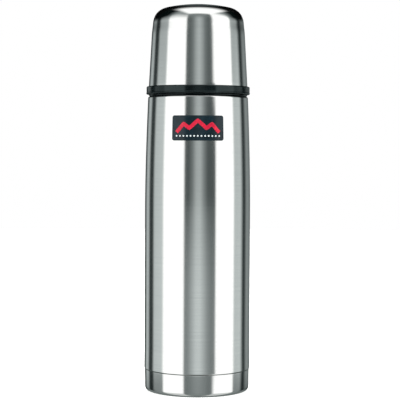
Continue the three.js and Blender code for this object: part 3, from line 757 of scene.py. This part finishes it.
def stopperHousing(s):
    # a threaded tube with a seat for the valve below and a flange above; inside it the guide of the
    # stem on its spokes, and the post and the shelf of the release key
    (low, high), bottom, top, hubZ = s["gasketZ"], s["bottom"], s["top"], s["hubZ"]
    radius, flange, bore, well = s["radius"], s["flangeRadius"], s["bore"], s["wellRadius"]
    seat = s["seatBore"]
    seatTop = bottom + s["seat"]
    corners = [
        (seat, bottom, 0.4), (s["seatRadius"] - 0.3, bottom, 0.5), (s["seatRadius"], low, 0.3),
        (s["gasketRadius"], low, 0.15), (s["gasketRadius"], high, 0.15), (radius, high, 0.4),
        (radius, s["flange"], 0.3), (flange, s["flange"], 0.3), (flange, top, 0.5), (bore, top, 0.5),
        (bore, hubZ, 0.8), (well, hubZ, 0.8), (well, seatTop, 0.5), (seat, seatTop, 0.4),
    ]
    turned("stopperHousing", corners, blackPlastic, "stopper", "stopper_housing",
           relief=ridges(meshing(stopperThread), radius), step=1.5, fine=s["threadFill"])
    (inner, outer), rest, top = s["hub"], s["springSeatRadius"], s["springSeat"]
    turned("stemGuide", [
        (inner, hubZ, 0.3), (outer, hubZ, 0.4), (outer, top - 1.4, 0.6), (rest, top - 1.4, 0.3),
        (rest, top, 0.3), (inner, top, 0.3),
    ], blackPlastic, "stopper", sides=128, step=1.0)
    half = s["spokeHalfWidth"]
    spoke = block((outer - 0.5, -half, hubZ + 2), (bore + 0.8, half, top - 1), 0.35)
    for number in range(s["spokes"]):
        turn = number * fullTurn / s["spokes"]
        cos, sin = math.cos(turn), math.sin(turn)
        around = np.array([[cos, sin, 0], [-sin, cos, 0], [0, 0, 1]])
        finished(f"guideSpoke{number + 1}", spoke @ around, blackPlastic, "stopper")
    for name, box in s["keyGuides"].items():
        finished(name, block(*box, 0.3), blackPlastic, "stopper")


coverSize = {
    "radius": 29.0, "wall": 1.0, "bottom": corner("stopper_cover", 0)[2],
    "top": corner("stopper_cover", 1)[2], "round": 3.0,
    "sleeve": 13.4, "sleeveWall": 1.6, "roof": 2.5, "sleeveDepth": 5.5,
    "flutes": 12, "fluteDepth": 0.7, "fluteHalfAngle": 4.6, "fluteTop": 257.6, "fluteRunOut": 2.0,
    "openings": {
        "spout": ((-7.5, -36, 249), (7.5, -23, 256.5)),
        "keySlot": ((-6.4, 23, 249.2), (6.4, 36, 255.8)),
    },
    "openingRound": 1.2,
}


def fluted(s):
    # rounded hollows for the fingers, evenly spaced, that run out just below the top edge
    def relief(angle, radius, height):
        spacing = fullTurn / s["flutes"]
        off = np.abs(np.mod(angle + math.pi / 2, spacing) - spacing / 2)
        hollow = np.clip(1 - (off / math.radians(s["fluteHalfAngle"])) ** 2, 0, 1)
        runOut = np.clip((s["fluteTop"] + s["fluteRunOut"] / 2 - height) / s["fluteRunOut"], 0, 1)
        deep = -s["fluteDepth"] * hollow * runOut * runOut * (3 - 2 * runOut)
        return np.where(radius > s["radius"] - 0.3, deep, 0)
    return relief


def cutBy(piece, cutters):
    # takes the cutters' shapes out of a piece and leaves plain mesh behind
    for cutter in cutters:
        tool = bpy.data.objects.new("cutter", cutter)
        bpy.context.scene.collection.objects.link(tool)
        cut = piece.modifiers.new("cut", "BOOLEAN")
        cut.operation, cut.solver, cut.object = "DIFFERENCE", "EXACT", tool
    evaluated = piece.evaluated_get(bpy.context.evaluated_depsgraph_get())
    made = bpy.data.meshes.new_from_object(evaluated)
    for cut in list(piece.modifiers):
        bpy.data.objects.remove(cut.object)
        piece.modifiers.remove(cut)
    piece.data = made
    made.shade_smooth()
    made.set_sharp_from_angle(angle=crispEdge)


def stopperCover(s):
    # a cap with a round top edge and a sleeve for the button, cut open at the spout and at the key
    inner, outer, side = s["sleeve"], s["sleeve"] + s["sleeveWall"], s["radius"] - s["wall"]
    radius, low, top = s["radius"], s["bottom"], s["top"]
    roof, sleeveEnd = top - s["roof"], top - s["sleeveDepth"]
    corners = [
        (side, low, 0.2), (radius, low, 0.35), (radius, top, s["round"]), (inner, top, 0.8),
        (inner, sleeveEnd, 0.3), (outer, sleeveEnd, 0.3), (outer, roof, 0.5), (side, roof, 2.0),
    ]
    cover = turned("stopperCover", corners, blackPlastic, "stopper", "stopper_cover",
                   sides=360, relief=fluted(s), step=0.7)
    cutBy(cover, [gridMesh("cutter", block(*box, s["openingRound"])) for box in s["openings"].values()])


buttonSize = {
    "radius": 13.0, "top": corner("push_button", 1)[2], "edge": 1.5, "dish": 1.2, "dishFrom": 9.5,
    "flangeRadius": 14.2, "flangeZ": (254.7, 256.2), "socket": (3.3, 5.3),
    "bottom": corner("push_button", 0)[2], "web": (254.6, 256.0), "skirt": 11.6,
}


def pushButton(s):
    # a dished button with a flange that holds it under the sleeve, and a socket for the stem
    (low, high), (inner, outer), (under, over) = s["flangeZ"], s["socket"], s["web"]
    top, flange = s["top"], s["flangeRadius"]
    turned("pushButton", [
        (0, under), (inner, under, 0.2), (inner, s["bottom"], 0.2), (outer, s["bottom"], 0.2),
        (outer, over, 0.5), (s["skirt"], over, 0.5), (s["skirt"], low, 0.2), (flange, low, 0.25),
        (flange, high, 0.25), (s["radius"], high, 0.2), (s["radius"], top, s["edge"]),
        (s["dishFrom"], top - 0.4, 8.0), (0, top - s["dish"]),
    ], greyPlastic, "button", "push_button", sides=160, step=0.8)


valveSize = {
    "stemRadius": 3.0, "stemZ": (corner("valve_stem", 0)[2], corner("valve_stem", 1)[2]),
    "grooveRadius": 2.4, "groove": (213.1, 214.8),
    "discZ": (215.1, 218.4), "discRadius": (15.0, 17.1), "discWell": 16.3,
    "gasketZ": (217.7, 219.2), "gasketRadius": (12.6, 16.0),
    "clipZ": (213.4, 214.5), "clipRadius": (2.7, 5.2), "clipOpening": 30,
}


def valve(s):
    # the stem with a groove for its clip, the disc it carries, the gasket in the disc, and the clip:
    # a rounded strip carried round the stem but for an opening
    radius, groove = s["stemRadius"], s["grooveRadius"]
    (low, high), (down, up) = s["stemZ"], s["groove"]
    turned("valveStem", [
        (0, low), (radius - 0.4, low, 0.2), (radius, low + 0.4, 0.2), (radius, down, 0.1),
        (groove, down, 0.1), (groove, up, 0.1), (radius, up, 0.1), (radius, high, 0.3), (0, high),
    ], greyPlastic, "button", "valve_stem", sides=64, step=2.0)
    (low, high), (face, disc), bore, well = s["discZ"], s["discRadius"], radius + 0.3, s["discWell"]
    turned("valveDisc", [
        (bore, low, 0.2), (face, low, 0.5), (disc, low + 1.3, 0.5), (disc, high, 0.3), (well, high, 0.2),
        (well, high - 1, 0.2), (bore, high - 1, 0.2),
    ], blackPlastic, "button", "valve_disc", sides=128, step=1.5)
    (low, high), (inner, outer) = s["gasketZ"], s["gasketRadius"]
    turned("valveGasket", [
        (inner, low, 0.2), (outer, low, 0.2), (outer, high - 0.4, 0.3), (outer - 0.7, high, 0.3),
        (inner + 0.5, high, 0.3), (inner, high - 0.5, 0.3),
    ], silicone, "button", "valve_gasket", sides=128, step=1.0)
    (low, high), (inner, outer) = s["clipZ"], s["clipRadius"]
    angle = np.radians(np.linspace(s["clipOpening"], 360 - s["clipOpening"], 60))
    path = polar((inner + outer) / 2, angle, (low + high) / 2 + 0 * angle)
    section = roundSection((outer - inner) / 2, (high - low) / 2, 20, 0.35)
    strip = carried(path, polar(1, angle, 0 * angle), section)
    finished("stemClip", strip, springWire, "button", "stem_clip")


gasketSize = {"bore": 20.6, "radius": 24.3, "bottom": 222.4, "top": 225.2}


def stopperGasket(s):
    # a ring with a bulging outer face
    low, high, bore, radius = s["bottom"], s["top"], s["bore"], s["radius"]
    turned("stopperGasket", [
        (bore, low, 0.3), (radius - 0.7, low, 0.4), (radius, low + 1.0, 0.4), (radius, high - 0.8, 0.4),
        (radius - 0.5, high, 0.4), (bore, high, 0.3),
    ], silicone, "stopper_carrier", "stopper_gasket", sides=160, step=1.0)


springSizes = {
    "return": {"radius": 7.4, "wire": 0.45, "bottom": 237.5, "height": 18.2, "turns": 6},
    "latch": {"radius": 2.0, "wire": 0.35, "bottom": 0, "height": 6.2, "turns": 4.5},
    "latchAt": (0, 16.5, 252.5),
}


def springs(s):
    # each gets a mesh of its own; the latch spring is wound upwards, then laid down along Y
    spring = finished("returnSpring", coil(**s["return"]), springWire, "stopper", "return_spring")
    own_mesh(spring)
    wound = coil(**s["latch"])
    wound = np.stack([wound[..., 0], wound[..., 2], -wound[..., 1]], -1) + s["latchAt"]
    spring = finished("latchSpring", wound, springWire, "stopper", "latch_spring")
    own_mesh(spring)


keySize = {
    "halfWidth": 6.0, "back": 23.0, "rim": 30.8, "z": (249.6, 255.4), "armInner": 4.4, "armFront": 17.4,
    "ribs": 4, "ribDepth": 0.22, "ribsFrom": 0.85,    # the outer share of the block that is ribbed
}


def releaseKey(s):
    # a block whose outer face is bent to the flask's round and carries ribs for the thumb, and two arms
    (low, high), half, back, rim = s["z"], s["halfWidth"], s["back"], s["rim"]
    pad = block((-half, back, low), (half, rim, high), 0.6, perCorner=10, steps=40)
    outward = (pad[..., 1] - back) / (rim - back)
    bend = rim - np.sqrt(rim ** 2 - pad[..., 0] ** 2)
    wave = np.cos(fullTurn * s["ribs"] * (pad[..., 2] - low) / (high - low))
    rib = s["ribDepth"] * (0.5 - 0.5 * wave)
    pad[..., 1] -= (bend + rib * (outward > s["ribsFrom"])) * np.clip(outward, 0, 1)
    finished("releaseKey", pad, greyPlastic, "key", "release_key")
    for side, name in ((-1, "keyArmLeft"), (1, "keyArmRight")):
        left, right = sorted((side * s["armInner"], side * half))
        arm = block((left, s["armFront"], low + 1), (right, back + 1, high - 1), 0.3)
        finished(name, arm, greyPlastic, "key")


stopperHousing(housingSize)
stopperCover(coverSize)
stopperGasket(gasketSize)
pushButton(buttonSize)
valve(valveSize)
springs(springSizes)
releaseKey(keySize)
print("stopper made")


# Studio: a pale floor and sweep, soft lights and the surroundings that the steel mirrors

surroundings = {
    # What the steel mirrors, by direction from the flask: degrees from the camera, positive to the
    # right. Each wall or screen has a brightness from black to white; the two white spans are soft
    # boxes and the darkest ones black flags.
    "leftWalls": [(-180, 0.15), (-158, 0.2), (-150, 0.5), (-141, 0.65), (-134, 0.6), (-127, 0.2), (-115.5, 0.2),
                  (-107.5, 0.7), (-82.5, 0.73), (-78.5, 1), (-31, 1)],
    "rightWalls": [(84.5, 1), (88.5, 0.7), (108, 0.72), (113.5, 0.55), (118, 0.22), (125, 0.18), (137, 0.5),
                   (150, 0.45), (180, 0.2)],
    # between the boxes hangs a grey card round this direction, brightest in its middle
    "cardAt": 2,
    "heights": [
        # looking down at the floor's far edge, a little down, level, and up: how much of the walls'
        # brightness is left, the card's at its sides and middle, its half width, and the degrees
        # over which the right soft box begins
        {"walls": 0.65, "side": 0.41, "middle": 0.5, "halfWidth": 28, "box": (32, 38.5)},
        {"walls": 1.02, "side": 0.46, "middle": 0.76, "halfWidth": 30, "box": (38, 41.5)},
        {"walls": 1.0, "side": 0.3, "middle": 0.67, "halfWidth": 22, "box": (38, 41.5)},
        {"walls": 0.88, "side": 0.35, "middle": 0.68, "halfWidth": 22, "box": (32, 38.5)},
    ],
    # elevations between which one row turns to the next
    "levels": [(-10.8, -9.2), (-6.0, -0.5), (5.0, 9.0)],
    "strength": 1.7,
    # towards the floor the rows lose most of their contrast; straight below it is darker: a painted shadow of
    # the flask on the floor, which the steel mirrors
    "floorFrom": (-26.0, -14.0), "floorColour": "#79817f", "floorShare": 0.6,
    "floorShadowFrom": (-75.0, -40.0), "floorShadowColour": "#646b6a",
    # the elevations over which what stands there fades into the ceiling, by direction
    "ends": [
        (-180, 6, 13), (-140, 5, 14), (-114, 8, 21), (-93, 8, 34), (-75, 8, 42), (-60, 12, 50),
        (-30, 12, 50), (-22, 12, 44), (22, 12, 44), (34, 36, 66), (45, 34, 64), (56, 30, 60),
        (73, 22, 50), (93, 7, 30), (114, 6, 20), (140, 5, 14), (180, 6, 13),
    ],
    # the brightness above that, by how far a direction points towards the camera
    "ceiling": [(-1.0, 0.26), (-0.8, 0.22), (-0.6, 0.03), (-0.17, 0.03), (-0.01, 0.32), (0.1, 0.48),
                (0.23, 0.55), (0.45, 0.51), (0.7, 0.48), (1.0, 0.44)],
    "lighterRight": 0.1,     # how much further the right side counts as towards the camera
    # the far wall fades into black at its sides: between these slopes, and behind these directions
    "sidesSlope": (0.08, 0.28), "sidesBehind": (-0.6, -0.5), "sidesColour": "#040505",
    # the soft box overhead: its edges as slopes from straight up, and how far each fades
    "topBox": {"shift": 0.125,
               "edges": {"across": (0.656, 0.17), "front": (-0.87, 0.24), "back": (0.36, 0.36)}},
    "horizon": 0.001,        # directions lower than this are treated as this high
}


def coolGrey(brightness):
    # a grey with a faint cool cast, or pure white
    level = round(255 * brightness)
    return "#ffffff" if brightness == 1 else f"#{max(level - 6, 0):02x}{level:02x}{level:02x}"


def ringOfGreys(s, height):
    # the walls of the left side, the card with a squared-cosine brightness, and those of the right
    dim = lambda walls: [(at, level if level == 1 else level * height["walls"]) for at, level in walls]
    reach = height["halfWidth"]
    across = np.linspace(-27.5, height["box"][0], 9)
    hump = np.cos(np.clip((across - s["cardAt"]) / reach, -1, 1) * math.pi / 2) ** 2
    card = height["side"] + (height["middle"] - height["side"]) * hump
    front = [*zip(across.tolist(), card.tolist()), (height["box"][1], 1)]
    stops = [*dim(s["leftWalls"]), *front, *dim(s["rightWalls"])]
    return [(at / 360 + 0.5, coolGrey(level)) for at, level in stops]


def studioWorld(s):
    # what stands round the flask, by direction: bands by azimuth up to the top of the soft boxes,
    # the ceiling above them, and one rectangular soft box overhead
    world = bpy.data.worlds.new("studio")
    bpy.context.scene.world = world
    world.use_nodes = True
    tree = world.node_tree
    tree.nodes.clear()

    def table(value, stops):
        # a colour or a grey level by a value from 0 to 1
        ramp = addNode(tree, "ValToRGB", {0: value}, None)
        elements = ramp.color_ramp.elements
        while len(elements) < len(stops):
            elements.new(0.5)
        for element, (position, level) in zip(elements, stops):
            element.position = position
            element.color = toLinear(level) if isinstance(level, str) else (level, level, level, 1.0)
        return ramp.outputs[0]

    def rising(key, limits, low=0.0, high=1.0):
        # climbs smoothly from low at the first limit to high at the second
        span = {"From Min": limits[0], "From Max": limits[1], "To Min": low, "To Max": high}
        return addNode(tree, "MapRange", {"interpolation_type": "SMOOTHSTEP", "Value": value[key], **span})

    def laidOver(below, above, share):
        return addNode(tree, "Mix", {"data_type": "RGBA", 0: share, 6: below, 7: above}, 2)

    def worked(sums):
        # each sum has a name, what is done, and numbers or the names of earlier sums
        for name, operation, *operands in sums:
            inputs = {k: value[v] if isinstance(v, str) else v for k, v in enumerate(operands)}
            value[name] = addNode(tree, "Math", {"operation": operation, **inputs})
        return value[name]

    direction = addNode(tree, "TexCoord", give="Generated")
    value = dict(zip("xyz", addNode(tree, "SeparateXYZ", {0: direction}, None).outputs))
    worked([
        ("towards", "MULTIPLY", "y", -1.0), ("azimuth", "ARCTAN2", "x", "towards"),
        ("share", "MULTIPLY_ADD", "azimuth", 1 / fullTurn, 0.5),
        ("up", "ARCSINE", "z"), ("elevation", "MULTIPLY", "up", 180 / math.pi),
        ("above", "MAXIMUM", "z", s["horizon"]), ("slope", "DIVIDE", "x", "above"),
        ("along", "DIVIDE", "y", "above"), ("sideways", "ABSOLUTE", "slope"),
        ("shifted", "SUBTRACT", "slope", s["topBox"]["shift"]), ("across", "ABSOLUTE", "shifted"),
        ("nearer", "MULTIPLY_ADD", "x", s["lighterRight"], "towards"),
        ("near", "MULTIPLY_ADD", "nearer", 0.5, 0.5),
    ])

    # the bands, row over row, and the floor
    room, *higher = (table(value["share"], ringOfGreys(s, height)) for height in s["heights"])
    for row, limits in zip(higher, s["levels"]):
        room = laidOver(room, row, rising("elevation", limits))
    # straight below, the floor darkens into the flask's painted shadow
    floor = laidOver(s["floorColour"], s["floorShadowColour"], rising("elevation", s["floorShadowFrom"], 1.0, 0.0))
    room = laidOver(room, floor, rising("elevation", s["floorFrom"], s["floorShare"], 0.0))

    # the ceiling, darkened at the sides, from where the bands end
    ceiling = table(value["near"], [(at / 2 + 0.5, coolGrey(level)) for at, level in s["ceiling"]])
    value["side"] = rising("sideways", s["sidesSlope"])
    value["behind"] = rising("towards", s["sidesBehind"], 1.0, 0.0)
    ceiling = laidOver(ceiling, s["sidesColour"], worked([("aside", "MULTIPLY", "side", "behind")]))
    for k, key in ((1, "start"), (2, "end")):
        value[key] = table(value["share"], [(row[0] / 360 + 0.5, row[k] / 90) for row in s["ends"]])
    worked([("climbed", "MULTIPLY_ADD", "start", -90.0, "elevation"), ("span", "SUBTRACT", "end", "start"),
            ("height", "MULTIPLY", "span", 90.0), ("over", "DIVIDE", "climbed", "height")])
    room = laidOver(room, ceiling, rising("over", (0.0, 1.0)))

    # the soft box overhead
    box = {key: (edge - fade, edge + fade) for key, (edge, fade) in s["topBox"]["edges"].items()}
    value["sides"] = rising("across", box["across"], 1.0, 0.0)
    value["front"] = rising("along", box["front"])
    value["back"] = rising("along", box["back"], 1.0, 0.0)
    inside = worked([("depth", "MULTIPLY", "sides", "front"), ("inside", "MULTIPLY", "depth", "back")])
    room = laidOver(room, "#ffffff", inside)

    # the camera itself sees plain white paper
    seen = addNode(tree, "Background", {"Strength": s["strength"], "Color": room})
    paper = addNode(tree, "Background", {"Strength": 1.0, "Color": "#ffffff"})
    camera = addNode(tree, "LightPath", give="Is Camera Ray")
    chosen = addNode(tree, "MixShader", {0: camera, 1: seen, 2: paper})
    addNode(tree, "OutputWorld", {"Surface": chosen}, None)


floorLook = {
    # white seamless paper, matt, lit a little from within
    "colours": ("#f4f4f2", "#fbfbfa"), "roughness": 0.9,
    "shader": {"Specular IOR Level": 0.1, "Emission Color": "#ffffff", "Emission Strength": 0.55},
    "patterns": [{"sizeMm": (1.5, 1.5, 1.5), "detail": 3.0, "depthMm": 0.02, "tints": True}],
}
floorSize = {"radius": 2200, "z": -0.05}


def paperFloor(s):
    # a flat disc just under the flask that the steel doesn't mirror
    angle = np.linspace(0, fullTurn, 128, endpoint=False)
    radius = np.linspace(0, s["radius"], 24)[:, None]
    disc = polar(radius, angle, s["z"] + 0 * radius + 0 * angle)
    floor = bpy.data.objects.new("paperFloor", gridMesh("paperFloor", disc))
    bpy.context.scene.collection.objects.link(floor)
    floor.data.materials.append(newMaterial("paperWhiteMatt", floorLook)[0])
    floor.visible_glossy = False


lightAim = (0, 0, 0.15)      # metres, the middle of the flask
lights = {
    "keyLeft": {"place": (-1.3, -1.0, 1.1), "size": 0.9, "watts": 9.0},
    "keyRight": {"place": (1.3, -1.0, 1.1), "size": 0.9, "watts": 9.0},
    "top": {"place": (0.0, 0.2, 1.7), "size": 1.4, "watts": 14.0},
}


def softLight(name, s):
    # an area light that faces the middle of the flask; the steel mirrors the surroundings instead
    lamp = bpy.data.lights.new(name, "AREA")
    lamp.size, lamp.energy = s["size"], s["watts"]
    holder = bpy.data.objects.new(name, lamp)
    bpy.context.scene.collection.objects.link(holder)
    aim = np.array(lightAim) - np.array(s["place"])
    length = float(np.linalg.norm(aim))
    holder.location = s["place"]
    holder.rotation_euler = (math.acos(-aim[2] / length), 0, math.atan2(aim[1], aim[0]) - math.pi / 2)
    holder.visible_glossy = False


cameraSet = {
    "away": 1.072, "height": 0.180, "aside": 0.0018,   # metres
    "tiltDegrees": 1.98, "rollDegrees": 0.27, "lensMm": 128.4, "sensorMm": 36.0,
}


def viewCamera(s):
    # tilted about X, then rolled about its line of sight: the product of the two half-angle turns
    camera = bpy.data.cameras.new("camera")
    camera.lens, camera.sensor_width = s["lensMm"], s["sensorMm"]
    holder = bpy.data.objects.new("camera", camera)
    bpy.context.scene.collection.objects.link(holder)
    holder.location = (s["aside"], -s["away"], s["height"])
    tilt, roll = math.radians(90 - s["tiltDegrees"]) / 2, math.radians(s["rollDegrees"]) / 2
    a, b, c, d = math.cos(tilt), math.sin(tilt), math.cos(roll), math.sin(roll)
    holder.rotation_mode = "QUATERNION"
    holder.rotation_quaternion = (a * c, b * c, -b * d, a * d)
    bpy.context.scene.camera = holder


studioWorld(surroundings)
paperFloor(floorSize)
for name, settings in lights.items():
    softLight(name, settings)
viewCamera(cameraSet)
bpy.context.scene.view_settings.view_transform = "Standard"
print("studio made")
